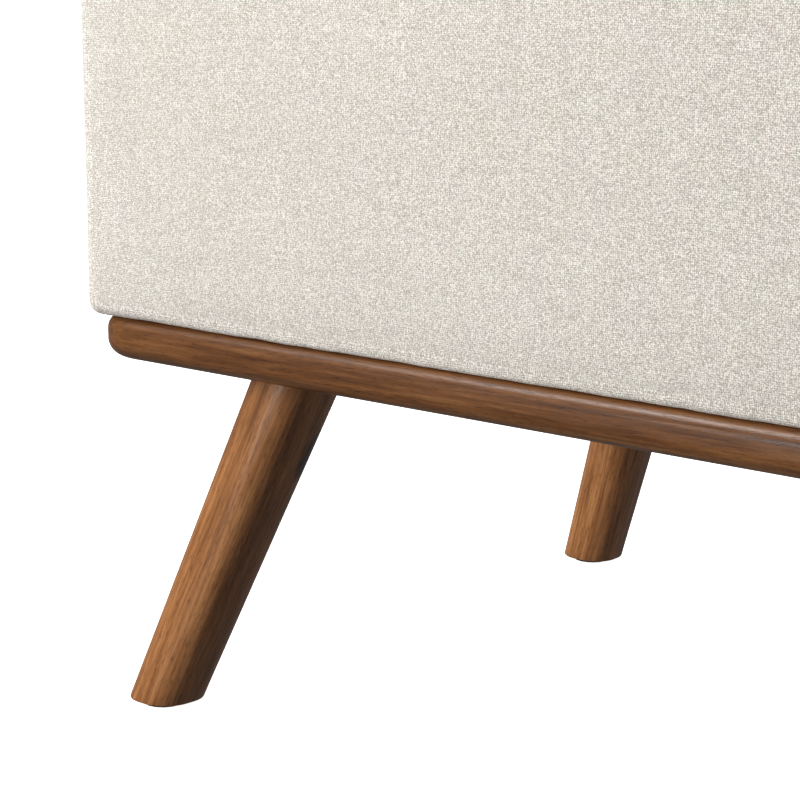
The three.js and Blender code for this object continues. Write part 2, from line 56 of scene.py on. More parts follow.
# Upholstery
FABRIC = 1.5 * MM
CORNER_RADIUS = 14 * MM
FABRIC_EASE = 6.5 * MM
TURN_UNDER = 35 * MM
RIM_TURN_DOWN = 20 * MM
STORAGE_INSET = 21.4 * MM
STORAGE_RADIUS = 42 * MM
RIM_INNER_EASE = 2.5 * MM
LINING_BEND = 6 * MM
LINING_WALL_ROWS = 18
LINING_FLOOR_ROWS = 30
LINING_BILLOW = 3.6 * MM
COLUMN_STEP = 5 * MM
WALL_STEP = 7 * MM
BOX_SHRINK = 0.6 * MM  # keeps room for the swelling
BOX_SWELL = 1.4 * MM
FOOT_PULL = 3 * MM
FOOT_HEIGHT = 25 * MM
FOOT_DROP = 1.3 * MM
FOOT_DROP_REACH = 9 * MM
CORNER_REACH = 100 * MM
PUCKER_HEIGHT = 9 * MM
SWELL_FRAMES = 20
EVENING_ROUNDS = 14

# Lid cushion
LID_TOP_EASE = 16 * MM
LID_CELL = 6 * MM
LID_SHRINK = 3 * MM
LID_TOP_SHRINK = 4 * MM
LID_CROWN = 4 * MM
LID_SWELL = 3.5 * MM
LID_RECESS = 1.2 * MM
BOARD_SHARE = -0.35  # of the lid's half height: the board holds the cloth below it
SEAM_DEPTH = 1.2 * MM
SEAM_REACH = 35 * MM

# Wooden base and hardware
EDGE_BEVEL = 0.35 * MM
HARDWARE_BEVEL = 0.25 * MM
RAIL_UPPER_EASE = 7 * MM
RAIL_LOWER_EASE = 9 * MM
RAIL_CORNER = 33 * MM
RAIL_WIDTH = 90 * MM
MITRE_GAP = 0.25 * MM
LEG_TOP_WIDTH = 40.6 * MM
LEG_FOOT_WIDTH = 33.6 * MM
LEG_ROUNDING = 0.43  # of the leg's width
LEG_FOOT_EASE = 0.9 * MM
RAIL_STAIN = (0.40, 0.355, 0.34)
LEG_STAIN = (0.88, 0.85, 0.98)
GRAIN_SHIFT = np.array([1.7, 0.37, 0.11])  # gives each rail its own grain
KNOT_PLACE = (41 * MM, 17.5 * MM, 9.5 * MM)
KNOT_SIZE = (20 * MM, 8 * MM, 9 * MM)

# Screws
LEAF_GAP = 0.3 * MM
LEAF_THICKNESS = 1 * MM
LEAF_SCREW_SPREAD = 21 * MM
PLATE_THICKNESS = 2 * MM
FLUSH_HEAD = (2.8 * MM, 0.15 * MM)
PAN_HEAD = (3.5 * MM, 1.3 * MM)

# Camera, from the fabric's front left corner on the floor
CAMERA_FROM_CORNER = (0.8925, -0.7645, 0.398)
CAMERA_YAW = 41.4
CAMERA_PITCH = 11.6
CAMERA_LENS = 104.8

# Light from all round, beside the lamps
WORLD_LIGHT = 0.17

cover_low, cover_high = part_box("box_cover")
lid_low, lid_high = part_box("lid_cover")
HALF_X = (cover_high.x - cover_low.x) / 2
HALF_Y = (cover_high.y - cover_low.y) / 2
CENTRE = np.array([(cover_low.x + cover_high.x) / 2, (cover_low.y + cover_high.y) / 2])
COLUMNS_X = round(2 * HALF_X / COLUMN_STEP)
COLUMNS_Y = round(2 * HALF_Y / COLUMN_STEP)


# ---- Meshes ----


def new_piece(name, vertices, faces, body, sharp_from=60):
    """A smooth mesh that rides on a body. Edges sharper than sharp_from degrees stay sharp."""
    mesh = bpy.data.meshes.new(name)
    mesh.from_pydata([tuple(v) for v in vertices], [], [tuple(f) for f in faces])
    return add_piece(name, mesh, body, sharp_from)


def add_piece(name, mesh, body, sharp_from):
    piece = bpy.data.objects.new(name, mesh)
    bpy.context.scene.collection.objects.link(piece)
    smooth(mesh, sharp_from)
    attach(piece, body)
    return piece


def mesh_from(name, made):
    """A mesh from a finished bmesh, with its faces turned out."""
    bmesh.ops.recalc_face_normals(made, faces=made.faces[:])
    mesh = bpy.data.meshes.new(name)
    made.to_mesh(mesh)
    made.free()
    return mesh


def smooth(mesh, sharp_from):
    mesh.polygons.foreach_set("use_smooth", [True] * len(mesh.polygons))
    mesh.set_sharp_from_angle(angle=math.radians(sharp_from))


def store(mesh, name, values, domain="POINT"):
    """Keeps one vector for each point or face corner, for a material to read."""
    attribute = mesh.attributes.new(name, "FLOAT_VECTOR", domain)
    attribute.data.foreach_set("vector", np.asarray(values, np.float32).ravel())


def add_modifier(piece, kind, **settings):
    modifier = piece.modifiers.new(kind.lower(), kind)
    for key, value in settings.items():
        setattr(modifier, key, value)


def points_of(mesh):
    places = np.empty(3 * len(mesh.vertices), np.float32)
    mesh.vertices.foreach_get("co", places)
    return places.reshape(-1, 3).astype(float)


def normals_of(mesh):
    ways = np.empty(3 * len(mesh.vertices), np.float32)
    mesh.vertex_normals.foreach_get("vector", ways)
    return ways.reshape(-1, 3).astype(float)


def move_points(mesh, points):
    mesh.vertices.foreach_set("co", points.ravel())
    mesh.update()


def ripple(x, y, z):
    """Smooth noise from about -1 to 1, the same at every run."""
    return noise.noise(Vector((x, y, z)))


def direction(quarters):
    """The way that is so many quarter turns round from +X."""
    angle = quarters * math.pi / 2
    return Vector((math.cos(angle), math.sin(angle)))


def outline(half_x, half_y, radius, corner_steps, step_x, step_y):
    """Points round a rounded rectangle, anticlockwise from its right side's rear end."""
    points = []
    for corner, (sign_x, sign_y) in enumerate(((1, 1), (-1, 1), (-1, -1), (1, -1))):
        middle = Vector((sign_x * (half_x - radius), sign_y * (half_y - radius)))
        for i in range(corner_steps):
            points.append(middle + radius * direction(corner + i / corner_steps))
        start = middle + radius * direction(corner + 1)
        along_x = corner % 2 == 0
        run = 2 * (half_x if along_x else half_y) - 2 * radius
        count = step_x if along_x else step_y
        for i in range(count):
            points.append(start + direction(corner + 2) * run * i / count)
    return np.array(points)


def lengths_round(points):
    """How far along a closed outline each point is, and its whole length last."""
    steps = np.linalg.norm(np.roll(points, -1, axis=0) - points, axis=1)
    return np.concatenate([[0], np.cumsum(steps)])


def outward(points):
    """Each point's outward direction on an anticlockwise outline."""
    ahead = np.roll(points, -1, axis=0) - np.roll(points, 1, axis=0)
    normal = np.stack([ahead[:, 1], -ahead[:, 0]], axis=1)
    return normal / np.linalg.norm(normal, axis=1)[:, None]


def ring_faces(rows, columns, closed=False):
    """Quads between rings of points. If closed, the last ring also joins the first."""
    faces = []
    for i in range(rows if closed else rows - 1):
        below, above = i * columns, (i + 1) % rows * columns
        for j in range(columns):
            k = (j + 1) % columns
            faces.append((below + j, below + k, above + k, above + j))
    return faces


def ring_weave(along, up):
    """The cloth's (u, v) at each corner of such quads."""
    corners = []
    for low, high in zip(up, up[1:]):
        for start, end in zip(along, along[1:]):
            corners.append(((start, low, 0), (end, low, 0), (end, high, 0), (start, high, 0)))
    return np.array(corners)


def quarter_turn(steps):
    """Angles from 0 to a right angle."""
    return [i / steps * math.pi / 2 for i in range(steps + 1)]


def eased_wall(low, high, lower, upper, steps, wall_step):
    """(inset, z) up a wall whose lower and upper edges are rounded."""
    profile = []
    for angle in reversed(quarter_turn(steps)):
        profile.append((lower * (1 - math.cos(angle)), low + lower * (1 - math.sin(angle))))
    bottom, top = low + lower, high - upper
    count = round((top - bottom) / wall_step)
    for i in range(1, count):
        profile.append((0, bottom + (top - bottom) * i / count))
    for angle in quarter_turn(steps):
        profile.append((upper * (1 - math.cos(angle)), high - upper * (1 - math.sin(angle))))
    return profile


# ---- Materials ----


class Nodes:
    """Short calls that add nodes to a material and join them."""

    SOCKETS = {
        "colour": "Base Color",
        "roughness": "Roughness",
        "metallic": "Metallic",
        "normal": "Normal",
        "sheen": "Sheen Weight",
        "sheen_roughness": "Sheen Roughness",
        "specular": "Specular IOR Level",
        "glow": "Emission Strength",
        "glow_colour": "Emission Color",
    }

    def __init__(self, name):
        self.material = bpy.data.materials.new(name)
        self.material.use_nodes = True
        self.tree = self.material.node_tree
        self.shader = self.tree.nodes["Principled BSDF"]

    def add(self, kind, inputs=(), **settings):
        node = self.tree.nodes.new(kind)
        for key, value in settings.items():
            setattr(node, key, value)
        for key, value in dict(inputs).items():
            self.put(node.inputs[key], value)
        return node

    def put(self, socket, value):
        if isinstance(value, bpy.types.NodeSocket):
            self.tree.links.new(value, socket)
        else:
            socket.default_value = value

    def math(self, operation, *values, clamp=False):
        inputs = enumerate(values)
        return self.add("ShaderNodeMath", inputs, operation=operation, use_clamp=clamp).outputs[0]

    def vector(self, operation, *values, output="Vector"):
        node = self.add("ShaderNodeVectorMath", enumerate(values), operation=operation)
        return node.outputs[output]

    def between(self, factor, a, b):
        return self.add("ShaderNodeMix", {0: factor, 2: a, 3: b}).outputs[0]

    def attribute(self, name):
        return self.add("ShaderNodeAttribute", attribute_name=name).outputs["Vector"]

    def place(self):
        return self.add("ShaderNodeTexCoord").outputs["Object"]

    def scaled(self, vector, scale, shift=(0, 0, 0)):
        inputs = {"Vector": vector, "Scale": scale, "Location": shift}
        return self.add("ShaderNodeMapping", inputs).outputs[0]

    def noise(self, vector, scale=1.0, detail=2.0, roughness=0.5, distortion=0.0, output="Fac"):
        inputs = {
            "Vector": vector,
            "Scale": scale,
            "Detail": detail,
            "Roughness": roughness,
            "Distortion": distortion,
        }
        return self.add("ShaderNodeTexNoise", inputs).outputs[output]

    def ramp(self, value, *stops):
        node = self.add("ShaderNodeValToRGB", {"Fac": value})
        elements = node.color_ramp.elements
        while len(elements) < len(stops):
            elements.new(0.5)
        for element, (position, colour) in zip(elements, stops):
            element.position = position
            element.color = (*colour, 1)
        return node.outputs[0]

    def level(self, value, *stops):
        return self.ramp(value, *[(position, (grey,) * 3) for position, grey in stops])

    def mix(self, factor, a, b, blend="MIX"):
        node = self.add("ShaderNodeMix", data_type="RGBA", blend_type=blend)
        self.put(node.inputs[0], factor)
        for socket, value in ((node.inputs[6], a), (node.inputs[7], b)):
            self.put(socket, (*value, 1) if isinstance(value, tuple) else value)
        return node.outputs[2]

    def bump(self, height, distance, strength):
        inputs = {"Height": height, "Distance": distance, "Strength": strength}
        return self.add("ShaderNodeBump", inputs).outputs[0]

    def finish(self, **values):
        for key, value in values.items():
            socket = self.shader.inputs[self.SOCKETS[key]]
            self.put(socket, (*value, 1) if isinstance(value, tuple) else value)
        return self.material


def woven(name, light, dark, pitch, slubs, speckle, fuzz):
    """Plain-weave cloth: threads over and under each other, slubs, fibres of mixed tone, and painted
    shade in the valleys between threads.
    """
    n = Nodes(name)
    cloth = n.attribute("cloth")
    wander = n.noise(cloth, 160.0, detail=1.0, output="Color")
    bent = n.vector("MULTIPLY_ADD", wander, (0.9 * pitch,) * 3, cloth)
    threads = n.vector("MULTIPLY", bent, (1 / pitch,) * 3)
    fibres = n.vector("FLOOR", n.vector("MULTIPLY", threads, (2, 2, 2)))
    fleck = n.add("ShaderNodeTexWhiteNoise", {"Vector": fibres}).outputs[0]
    split = n.add("ShaderNodeSeparateXYZ", {0: threads}).outputs
    wave_u = n.math("SINE", n.math("MULTIPLY", split[0], math.pi))
    wave_v = n.math("SINE", n.math("MULTIPLY", split[1], math.pi))
    over = n.math("MULTIPLY_ADD", n.math("MULTIPLY", wave_u, wave_v), 2.5, 0.5, clamp=True)
    round_u = n.math("ABSOLUTE", wave_u)
    round_v = n.math("ABSOLUTE", wave_v)
    warp_crown = n.math("MULTIPLY", round_u, n.math("MULTIPLY_ADD", round_v, 0.5, 0.5))
    weft_crown = n.math("MULTIPLY", round_v, n.math("MULTIPLY_ADD", round_u, 0.5, 0.5))
    crown = n.between(over, weft_crown, warp_crown)
    warp_tone = n.noise(n.scaled(threads, (0.9, 0.02, 1)), roughness=0.6)
    weft_tone = n.noise(n.scaled(threads, (0.03, 0.9, 1), (7.3, 2.1, 5)), roughness=0.6)
    slub = n.math("SUBTRACT", n.between(over, weft_tone, warp_tone), 0.5)
    fleck = n.math("SUBTRACT", fleck, 0.5)
    cloud = n.math("SUBTRACT", n.noise(cloth, 22.0, detail=3.0), 0.5)
    tone = n.math("MULTIPLY_ADD", slub, slubs, 0.5)
    tone = n.math("MULTIPLY_ADD", fleck, speckle, tone)
    tone = n.math("MULTIPLY_ADD", cloud, 0.1, tone, clamp=True)
    tint = n.ramp(n.noise(cloth, 38.0), (0.38, (1.0, 0.985, 0.985)), (0.62, (0.99, 1.0, 0.975)))
    colour = n.mix(1.0, n.mix(tone, dark, light), tint, "MULTIPLY")
    # Painted shade: the colour is darkened where the threads dip, in the valleys between crossing
    # threads.
    colour = n.mix(1.0, colour, n.level(crown, (0.0, 0.6), (0.6, 1.0)), "MULTIPLY")
    return n.finish(
        colour=colour,
        roughness=n.math("MULTIPLY_ADD", tone, 0.15, 0.8),
        normal=n.bump(n.math("MULTIPLY_ADD", tone, 0.8, crown), 0.3 * pitch, 0.8),
        sheen=fuzz,
        sheen_roughness=0.5,
        specular=0.2,
    )


def stained_walnut():
    """Walnut-stained wood under a satin lacquer, with its grain along the first axis."""
    n = Nodes("stained_walnut")
    grain = n.attribute("grain")
    bands = n.noise(n.scaled(grain, (6, 90, 90)), detail=4.0, roughness=0.65, distortion=0.6)
    streaks = n.noise(n.scaled(grain, (22, 520, 520)), detail=3.0, roughness=0.65)
    pores = n.noise(n.scaled(grain, (170, 2000, 2000)), detail=2.0, roughness=0.5)
    tone = n.math("MULTIPLY_ADD", streaks, 0.5, n.math("MULTIPLY", bands, 0.5))
    colour = n.ramp(
        tone,
        (0.36, (0.17, 0.064, 0.017)),
        (0.50, (0.34, 0.141, 0.039)),
        (0.64, (0.52, 0.245, 0.080)),
    )
    colour = n.mix(1.0, colour, n.attribute("stain"), "MULTIPLY")
    filled = n.level(pores, (0.32, 0.0), (0.44, 1.0))
    colour = n.mix(1.0, colour, n.level(filled, (0.0, 0.5), (1.0, 1.0)), "MULTIPLY")
    colour = n.mix(knot(n, grain), colour, (0.012, 0.006, 0.003))
    return n.finish(
        colour=colour,
        roughness=n.math("MULTIPLY_ADD", streaks, 0.2, 0.24),
        normal=n.bump(n.math("MULTIPLY_ADD", filled, 0.6, streaks), 0.08 * MM, 0.5),
        specular=0.5,
    )


def knot(n, grain):
    """How much a small knot in the front left leg darkens the wood."""
    reach = n.vector("DIVIDE", n.vector("SUBTRACT", grain, KNOT_PLACE), KNOT_SIZE)
    ragged = n.noise(n.scaled(grain, (150, 400, 400)), detail=3.0)
    distance = n.math("MULTIPLY", n.vector("LENGTH", reach, output="Value"), 0.5)
    edge = n.math("MULTIPLY_ADD", ragged, 0.45, distance)
    return n.level(edge, (0.5, 0.9), (0.72, 0.0))


def plywood():
    n = Nodes("plywood")
    grain = n.noise(n.scaled(n.place(), (12, 160, 160)), detail=4.0, roughness=0.6)
    colour = n.ramp(grain, (0.3, (0.42, 0.27, 0.14)), (0.7, (0.62, 0.45, 0.27)))
    return n.finish(colour=colour, roughness=0.75, normal=n.bump(grain, 0.1 * MM, 0.4))


def zinc_steel():
    """Zinc-plated steel with a fine rolled grain and a few duller clouds."""
    n = Nodes("zinc_steel")
    rolled = n.noise(n.scaled(n.place(), (300, 4000, 4000)))
    clouds = n.noise(n.place(), 90.0, detail=3.0)
    colour = n.ramp(clouds, (0.3, (0.50, 0.50, 0.51)), (0.7, (0.68, 0.68, 0.67)))
    roughness = n.math("MULTIPLY_ADD", rolled, 0.2, n.math("MULTIPLY_ADD", clouds, 0.2, 0.18))
    normal = n.bump(rolled, 0.02 * MM, 0.4)
    return n.finish(colour=colour, metallic=1.0, roughness=roughness, normal=normal)


def moulded(name, colour, roughness):
    """Moulded plastic or rubber with a fine sparked texture and slight wear."""
    n = Nodes(name)
    wear = n.noise(n.place(), 70.0, detail=3.0)
    worn = tuple(c * 1.3 + 0.01 for c in colour)
    return n.finish(
        colour=n.mix(wear, colour, worn),
        roughness=n.math("MULTIPLY_ADD", wear, 0.2, roughness - 0.1),
        normal=n.bump(n.noise(n.place(), 2500.0), 0.03 * MM, 0.4),
    )


def foam():
    n = Nodes("foam")
    cells = n.add("ShaderNodeTexVoronoi", {"Vector": n.place(), "Scale": 900.0}).outputs[0]
    colour = n.ramp(cells, (0.0, (0.55, 0.45, 0.25)), (0.6, (0.85, 0.78, 0.55)))
    return n.finish(colour=colour, roughness=0.9, normal=n.bump(cells, 0.5 * MM, 0.6))


CREAM = ((0.99, 0.945, 0.88), (0.555, 0.505, 0.445))
GREY = ((0.40, 0.37, 0.33), (0.24, 0.22, 0.195))
BLACK = ((0.03, 0.03, 0.032), (0.01, 0.01, 0.011))
MATERIALS = {
    "cream_fabric": woven("cream_fabric", *CREAM, pitch=0.9 * MM, slubs=0.8, speckle=1.7, fuzz=0.2),
    "grey_lining": woven("grey_lining", *GREY, pitch=0.6 * MM, slubs=0.5, speckle=0.5, fuzz=0.1),
    "black_cloth": woven("black_cloth", *BLACK, pitch=0.9 * MM, slubs=0.5, speckle=0.8, fuzz=0.1),
    "walnut_wood": stained_walnut(),
    "plywood": plywood(),
    "foam": foam(),
    "zinc_steel": zinc_steel(),
    "black_plastic": moulded("black_plastic", (0.018, 0.018, 0.02), 0.55),
    "clear_rubber": moulded("clear_rubber", (0.62, 0.60, 0.56), 0.5),
}


def finish_piece(piece, slot, *replaced):
    """Gives a new piece its material and hides the CAD nodes that it stands for."""
    piece.data.materials.append(MATERIALS[slot])
    if replaced:
        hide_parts(*replaced)


def evened(mesh, move, held):
    """Moves averaged with their neighbours', which leaves broad swelling and soft folds."""
    ends = np.empty(2 * len(mesh.edges), np.int32)
    mesh.edges.foreach_get("vertices", ends)
    start, end = ends[0::2], ends[1::2]
    joined = np.bincount(ends, minlength=len(move))[:, None]
    for _ in range(EVENING_ROUNDS):
        total = np.zeros_like(move)
        np.add.at(total, start, move[end])
        np.add.at(total, end, move[start])
        move = (move + total / joined) / 2
        move[held] = 0
    return move


def inflate(piece, held, cap):
    """Lets air pressure swell a cover, holding some points still, by no more than cap."""
    rest = points_of(piece.data)
    group = piece.vertex_groups.new(name="held")
    group.add([int(i) for i in held], 1.0, "REPLACE")
    cloth = piece.modifiers.new("cloth", "CLOTH")
    settings = cloth.settings
    settings.quality = 5
    settings.mass = 0.3
    settings.tension_stiffness = 40
    settings.compression_stiffness = 40
    settings.shear_stiffness = 20
    settings.bending_stiffness = 10
    settings.use_pressure = True
    settings.uniform_pressure_force = 4
    settings.vertex_group_mass = group.name
    settings.effector_weights.gravity = 0
    cloth.collision_settings.use_self_collision = False
    cloth.point_cache.frame_start = 1
    cloth.point_cache.frame_end = SWELL_FRAMES
    for step in range(1, SWELL_FRAMES + 1):
        bpy.context.scene.frame_set(step)
    graph = bpy.context.evaluated_depsgraph_get()
    swollen = points_of(piece.evaluated_get(graph).data)
    piece.modifiers.clear()
    piece.vertex_groups.clear()
    bpy.context.scene.frame_set(1)
    move = evened(piece.data, swollen - rest, held)
    far = np.linalg.norm(move, axis=1, keepdims=True)
    move *= np.minimum(1, cap / np.maximum(far, 1e-9))
    move_points(piece.data, rest + move)


# ---- Box upholstery ----


def plan_ring(inset, radius):
    """A ring of the upholstery's plan, so far inside the fabric's face."""
    ring = outline(HALF_X - inset, HALF_Y - inset, radius, 8, COLUMNS_X, COLUMNS_Y)
    return ring + CENTRE


def ring_surface(profile):
    """Points through (inset, z, corner radius) rows, and their lengths along and up the cloth."""
    along = lengths_round(plan_ring(profile[0][0], profile[0][2]))
    points, up = [], [0.0]
    for inset, z, radius in profile:
        points += [(x, y, z) for x, y in plan_ring(inset, radius)]
    for before, after in zip(profile, profile[1:]):
        up.append(up[-1] + math.hypot(after[0] - before[0], after[1] - before[1]))
    return np.array(points), along, up


def box_cover_profile():
    """(inset, z, corner radius) from under the floor, up the wall, over the rim and down inside."""
    low, high = cover_low.z, cover_high.z
    rows = []
    for inset in (TURN_UNDER, 24 * MM, 15 * MM, 10 * MM):
        rows.append((inset, low, CORNER_RADIUS - FABRIC_EASE))
    for inset, z in eased_wall(low, high, FABRIC_EASE, FABRIC_EASE, 6, WALL_STEP):
        rows.append((inset + BOX_SHRINK, z, CORNER_RADIUS - inset))
    rim_end = STORAGE_INSET - RIM_INNER_EASE
    for share in (0.35, 0.7):
        inset = FABRIC_EASE + (rim_end - FABRIC_EASE) * share
        rows.append((inset, high, CORNER_RADIUS + (STORAGE_RADIUS - CORNER_RADIUS) * share))
    for angle in quarter_turn(4):
        inset = rim_end + RIM_INNER_EASE * math.sin(angle)
        rows.append((inset, high - RIM_INNER_EASE * (1 - math.cos(angle)), STORAGE_RADIUS))
    for drop in (6 * MM, 10 * MM, 15 * MM, RIM_TURN_DOWN):
        rows.append((STORAGE_INSET, high - drop, STORAGE_RADIUS))
    return rows


def shape_foot(mesh):
    """Between the corners, makes the cover's lower edge squarer, lower and a little drawn in."""
    points = points_of(mesh)
    for point in points:
        plan = point[:2] - CENTRE
        inset = [HALF_X, HALF_Y] - np.abs(plan)
        axis = int(inset.argmin())
        rise = point[2] - cover_low.z
        share = min(inset[1 - axis] / CORNER_REACH, 1)
        p, q = 1 - inset[axis] / FABRIC_EASE, 1 - rise / FABRIC_EASE
        if p > 0 and q > 0:
            scale = 1 + share * ((p**4 + q**4) ** -0.25 * math.hypot(p, q) - 1)
            inset[axis] = FABRIC_EASE * (1 - p * scale)
            point[2] = cover_low.z + FABRIC_EASE * (1 - q * scale)
        if rise < FOOT_HEIGHT:
            inset[axis] += FOOT_PULL * share * (1 - rise / FOOT_HEIGHT) ** 2
            reach = (HALF_X, HALF_Y)[axis] - inset[axis]
            point[axis] = CENTRE[axis] + math.copysign(reach, plan[axis])
            over_rail = max(0, 1 - (inset[axis] / FOOT_DROP_REACH) ** 2)
            point[2] -= FOOT_DROP * share * over_rail * (1 - rise / FOOT_HEIGHT)
    move_points(mesh, points)


def wrinkle_wall(mesh, along):
    """Broad ripples over the walls, and small puckers and a wavy line along their foot."""
    points, normals = points_of(mesh), normals_of(mesh)
    from_face = np.min([HALF_X, HALF_Y] - np.abs(points[:, :2] - CENTRE), axis=1)
    for i in np.nonzero(from_face < FABRIC_EASE + FOOT_PULL)[0]:
        z = points[i][2]
        u = along[i % (len(along) - 1)]
        foot = math.exp(-(z - cover_low.z) / PUCKER_HEIGHT)
        puckers = 0.4 * foot * ripple(u * 75, 0.2, 4.0)
        points[i] += normals[i] * MM * (0.3 * ripple(u * 14, z * 11, 0.3) + puckers)
        wave = 0.4 * ripple(u * 22, 1.0, 0.0) + 0.2 * ripple(u * 60, 7.0, 0.0)
        points[i][2] += MM * foot * (wave + 0.2 * ripple(u * 230, 3.0, 0.0))
    move_points(mesh, points)


def make_box_cover():
    profile = box_cover_profile()
    points, along, up = ring_surface(profile)
    columns = len(along) - 1
    piece = new_piece("box_upholstery", points, ring_faces(len(profile), columns), "box")
    store(piece.data, "cloth", ring_weave(along, up), "CORNER")
    bottom, top = cover_low.z + FABRIC_EASE, cover_high.z - FABRIC_EASE
    free = [bottom < z < top and inset < FABRIC_EASE for inset, z, _ in profile]
    inflate(piece, np.nonzero(~np.repeat(free, columns))[0], BOX_SWELL)
    shape_foot(piece.data)
    wrinkle_wall(piece.data, along)
    finish_piece(piece, "cream_fabric", "box_cover", "box_padding")
    add_modifier(piece, "SUBSURF", levels=1, render_levels=1)


# ---- Storage lining, dust cover and lid lining ----


def lining_profile(floor, top, wall_inset):
    """(inset, z, corner radius) down the lining's wall and over its floor to the middle."""
    rows = []
    drop = floor + LINING_BEND - top
    for i in range(LINING_WALL_ROWS + 1):
        rows.append((wall_inset, top + drop * i / LINING_WALL_ROWS, STORAGE_RADIUS))
    for angle in quarter_turn(4)[1:]:
        inset = LINING_BEND * (1 - math.cos(angle))
        z = floor + LINING_BEND * (1 - math.sin(angle))
        rows.append((wall_inset + inset, z, STORAGE_RADIUS - inset))
    start, end = rows[-1][0], HALF_Y - 1 * MM
    for i in range(1, LINING_FLOOR_ROWS + 1):
        inset = start + (end - start) * i / LINING_FLOOR_ROWS
        rows.append((inset, floor, max(STORAGE_RADIUS - (inset - wall_inset), 0.4 * MM)))
    return rows


def slacken_lining(points, floor, top, way):
    """Lets the lining's wall billow inwards, and its floor lie a little uneven."""
    for i, (x, y, z) in enumerate(points):
        share = max(z - floor, 0) / (top - floor)
        bulge = LINING_BILLOW * share * (1 - share)
        points[i][:2] -= way[i % len(way)] * bulge * (0.6 + 0.6 * ripple(x * 18, y * 18, z * 12))
        points[i][2] += 0.5 * MM * abs(ripple(x * 16, y * 16, 2.0)) * (share == 0)


def make_storage_lining():
    """An open tray of cloth whose upper edge is sewn to the cover's turned-down edge."""
    node_low, node_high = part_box("box_lining")
    floor, top = node_low.z + FABRIC, node_high.z + 1.5 * MM
    wall_inset = STORAGE_INSET + 0.2 * MM
    rows = lining_profile(floor, top, wall_inset)
    floor_row = len(rows) - 1 - LINING_FLOOR_ROWS
    points, along, up = ring_surface(rows)
    columns = len(along) - 1
    slacken_lining(points, floor, top, outward(plan_ring(wall_inset, STORAGE_RADIUS)))
    faces = ring_faces(len(rows), columns)
    weave = ring_weave(along, up)
    flat = floor_row * columns
    weave[flat:] = points[np.array(faces[flat:])]
    last = len(points) - columns
    faces.append(range(last, len(points)))
    piece = new_piece("storage_lining", points, [face[::-1] for face in faces], "box")
    corners = np.concatenate([weave[:, ::-1].reshape(-1, 3), points[last:][::-1]])
    store(piece.data, "cloth", corners, "CORNER")
    finish_piece(piece, "grey_lining", "box_lining")


def make_flat_cloth(name, node, body, slot):
    """A panel of cloth tacked flat under a board, with its edges turned in and a little slack."""
    low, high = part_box(node)
    count_x, count_y = 90, 60
    hem, slack_reach = 7 * MM, 40 * MM
    points = []
    for j in range(count_y + 1):
        for i in range(count_x + 1):
            x = low.x + (high.x - low.x) * i / count_x
            y = low.y + (high.y - low.y) * j / count_y
            edge = min(x - low.x, high.x - x, y - low.y, high.y - y)
            sway = 0.35 * MM * min(edge / slack_reach, 1) * ripple(x * 12, y * 12, 1.0)
            fold = 0.0 if edge < hem else 0.4 * MM
            points.append((x, y, low.z + fold + sway))
    row = count_x + 1
    starts = [j * row + i for j in range(count_y) for i in range(count_x)]
    faces = [(a, a + row, a + row + 1, a + 1) for a in starts]
    piece = new_piece(name, points, faces, body)
    store(piece.data, "cloth", [points[i] for face in faces for i in face], "CORNER")
    finish_piece(piece, slot, node)
    add_modifier(piece, "SOLIDIFY", thickness=0.7 * MM, offset=-1)


# ---- Lid cushion ----


def box_grid(counts):
    """Points from -1 to 1 on a cube's surface, and its quads facing out, for a grid on each side."""
    index, points, faces = {}, [], []

    def point(cell):
        if cell not in index:
            index[cell] = len(points)
            points.append([2 * c / n - 1 for c, n in zip(cell, counts)])
        return index[cell]

    for axis in range(3):
        first, second = (axis + 1) % 3, (axis + 2) % 3
        for end in (0, counts[axis]):
            for i in range(counts[first]):
                for j in range(counts[second]):
                    face = []
                    for di, dj in ((0, 0), (1, 0), (1, 1), (0, 1)):
                        cell = [0, 0, 0]
                        cell[axis], cell[first], cell[second] = end, i + di, j + dj
                        face.append(point(tuple(cell)))
                    faces.append(face if end else face[::-1])
    return np.array(points), faces


def round_off(a, b, reach):
    """Moves a point, a and b inside two faces, onto the rounding of the edge between them."""
    p, q = 1 - min(a / reach, 1), 1 - min(b / reach, 1)
    if p <= 0 or q <= 0:
        return a, b
    scale = max(p, q) / math.hypot(p, q)
    return reach * (1 - p * scale), reach * (1 - q * scale)


def lid_point(unit, half):
    """Where a point of the cube's surface lies on the lid's rounded shape."""
    x, y, z = (abs(u) * h for u, h in zip(unit, half))
    from_x, from_y = round_off(half[0] - x, half[1] - y, CORNER_RADIUS)
    plan = np.array([half[0] - from_x, half[1] - from_y])
    over = plan - half[:2] + CORNER_RADIUS
    if over.min() > 0:
        reach = np.linalg.norm(over)
        way, inset = over / reach, CORNER_RADIUS - reach
    elif from_x < from_y:
        way, inset = np.array([1, 0]), from_x
    else:
        way, inset = np.array([0, 1]), from_y
    ease = LID_TOP_EASE if unit[2] > 0 else FABRIC_EASE
    new_inset, depth = round_off(inset, half[2] - z, ease)
    if unit[2] == -1 and inset > TURN_UNDER:
        depth += LID_RECESS
    if unit[2] > 0:
        depth -= LID_CROWN * (1 - unit[0] ** 2) * (1 - unit[1] ** 2) * (unit[2] + 1) / 2
    x, y = plan + way * (inset - new_inset)
    return [math.copysign(value, u) for value, u in zip((x, y, half[2] - depth), unit)]


def lid_weave(unit, half, faces):
    """The cloth's (u, v): flat over the top and underside, and unrolled round the wall."""
    corners = []
    hx, hy, hz = half
    for face in faces:
        units = unit[face]
        level = abs(units[:, 2].sum()) == 4
        on_x = abs(units[:, 0].sum()) == 4
        for u, v, w in units:
            if level:
                corners.append((u * hx, v * hy, 0))
            elif on_x:
                middle = 0 if u > 0 else 2 * (hx + hy)
                corners.append((middle + u * v * hy, w * hz + 0.3, 0))
            else:
                middle = hx + hy if v > 0 else 3 * (hx + hy)
                corners.append((middle - v * u * hx, w * hz + 0.3, 0))
    return corners


